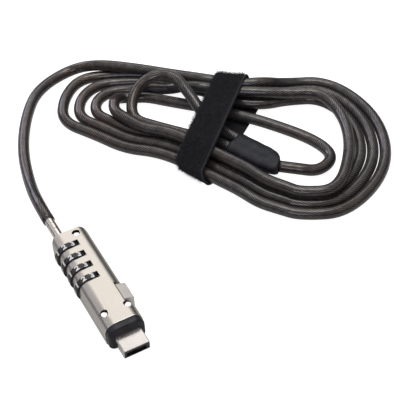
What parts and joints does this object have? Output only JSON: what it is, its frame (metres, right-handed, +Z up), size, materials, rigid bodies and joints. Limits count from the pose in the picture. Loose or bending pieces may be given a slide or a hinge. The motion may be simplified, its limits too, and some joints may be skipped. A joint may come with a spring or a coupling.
{
  "type": "laptop cable lock",
  "caption": "Combination cable lock: slim metal head with number dials, release slider and hooked data-port plug on a strapped hank of smoked steel cable with an eye loop.",
  "frame": {"origin": "on the table under the middle of the lock head", "axes": "+Z up from the table, +Y along the head from plug to cable, +X towards the release slider"},
  "size_m": [0.1816, 0.1897, 0.0185],
  "materials": {
    "satin_nickel": "satin nickel plating on die-cast zinc",
    "black_plastic": "fine matt",
    "plug_steel": "bright rolled steel",
    "spring_steel": "plain",
    "pin_steel": "polished",
    "inner_brass": "machined",
    "smoked_jacket": "smoked clear jacket over steel strand",
    "crimp_aluminium": "pressed",
    "shrink_sleeve": "matt heat-shrink",
    "strap_fabric": "brushed hook-and-loop fabric",
    "black_dial": "satin, white numbers"
  },
  "bodies": {
    "cable_set": {"cable_ferrule": "plug_steel", "cable_lead": "smoked_jacket", "cable_hank": "smoked_jacket", "cable_tail": "smoked_jacket", "cable_eye": "smoked_jacket", "eye_crimp": "crimp_aluminium", "eye_sleeve": "shrink_sleeve", "hank_strap": "strap_fabric"},
    "lock_head": {"housing_body": "satin_nickel", "base_cover": "satin_nickel", "nose_collar": "black_plastic", "usb_shell": "plug_steel", "usb_core": "black_plastic", "hook_pivot_pin": "spring_steel", "case_pins": "pin_steel", "swivel_washer": "inner_brass", "detent_spring": "spring_steel", "release_spring": "spring_steel"},
    "release": {"slider_button": "satin_nickel", "slider_carriage": "inner_brass", "wedge_rod": "spring_steel", "spindle": "spring_steel"},
    "hooks": {"locking_hooks": "spring_steel"},
    "dial_1": {"dial_1": "black_dial", "code_sleeve_1": "inner_brass"},
    "dial_2": {"dial_2": "black_dial", "code_sleeve_2": "inner_brass"},
    "dial_3": {"dial_3": "black_dial", "code_sleeve_3": "inner_brass"},
    "dial_4": {"dial_4": "black_dial", "code_sleeve_4": "inner_brass"}
  },
  "joints": [
    {"name": "cable_swivel", "type": "hinge", "parent": "cable_set", "child": "lock_head", "pos_m": [-0.0033, 0.0353, 0.0075], "axis": [0, 1, 0], "continuous": true},
    {"name": "release_slide", "type": "slide", "parent": "lock_head", "child": "release", "axis": [0, -1, 0], "range_m": [0, 0.0013], "stiffness_N_per_m": 400, "springref_m": -0.002, "deforming": ["release_spring"]},
    {"name": "hook_swing", "type": "hinge", "parent": "lock_head", "child": "hooks", "pos_m": [0, -0.02, 0.0056], "axis": [-1, 0, 0], "range_deg": [0, 5.4]},
    {"name": "dial_spin_1", "type": "hinge", "parent": "lock_head", "child": "dial_1", "pos_m": [-0.0033, 0.0051, 0.0075], "axis": [0, 1, 0], "continuous": true},
    {"name": "dial_spin_2", "type": "hinge", "parent": "lock_head", "child": "dial_2", "pos_m": [-0.0033, 0.0122, 0.0075], "axis": [0, 1, 0], "continuous": true},
    {"name": "dial_spin_3", "type": "hinge", "parent": "lock_head", "child": "dial_3", "pos_m": [-0.0033, 0.0193, 0.0075], "axis": [0, 1, 0], "continuous": true},
    {"name": "dial_spin_4", "type": "hinge", "parent": "lock_head", "child": "dial_4", "pos_m": [-0.0033, 0.0264, 0.0075], "axis": [0, 1, 0], "continuous": true}
  ],
  "couplings": [
    {"joint": "hook_swing", "follows": "release_slide", "rad_per_m": 69}
  ]
}
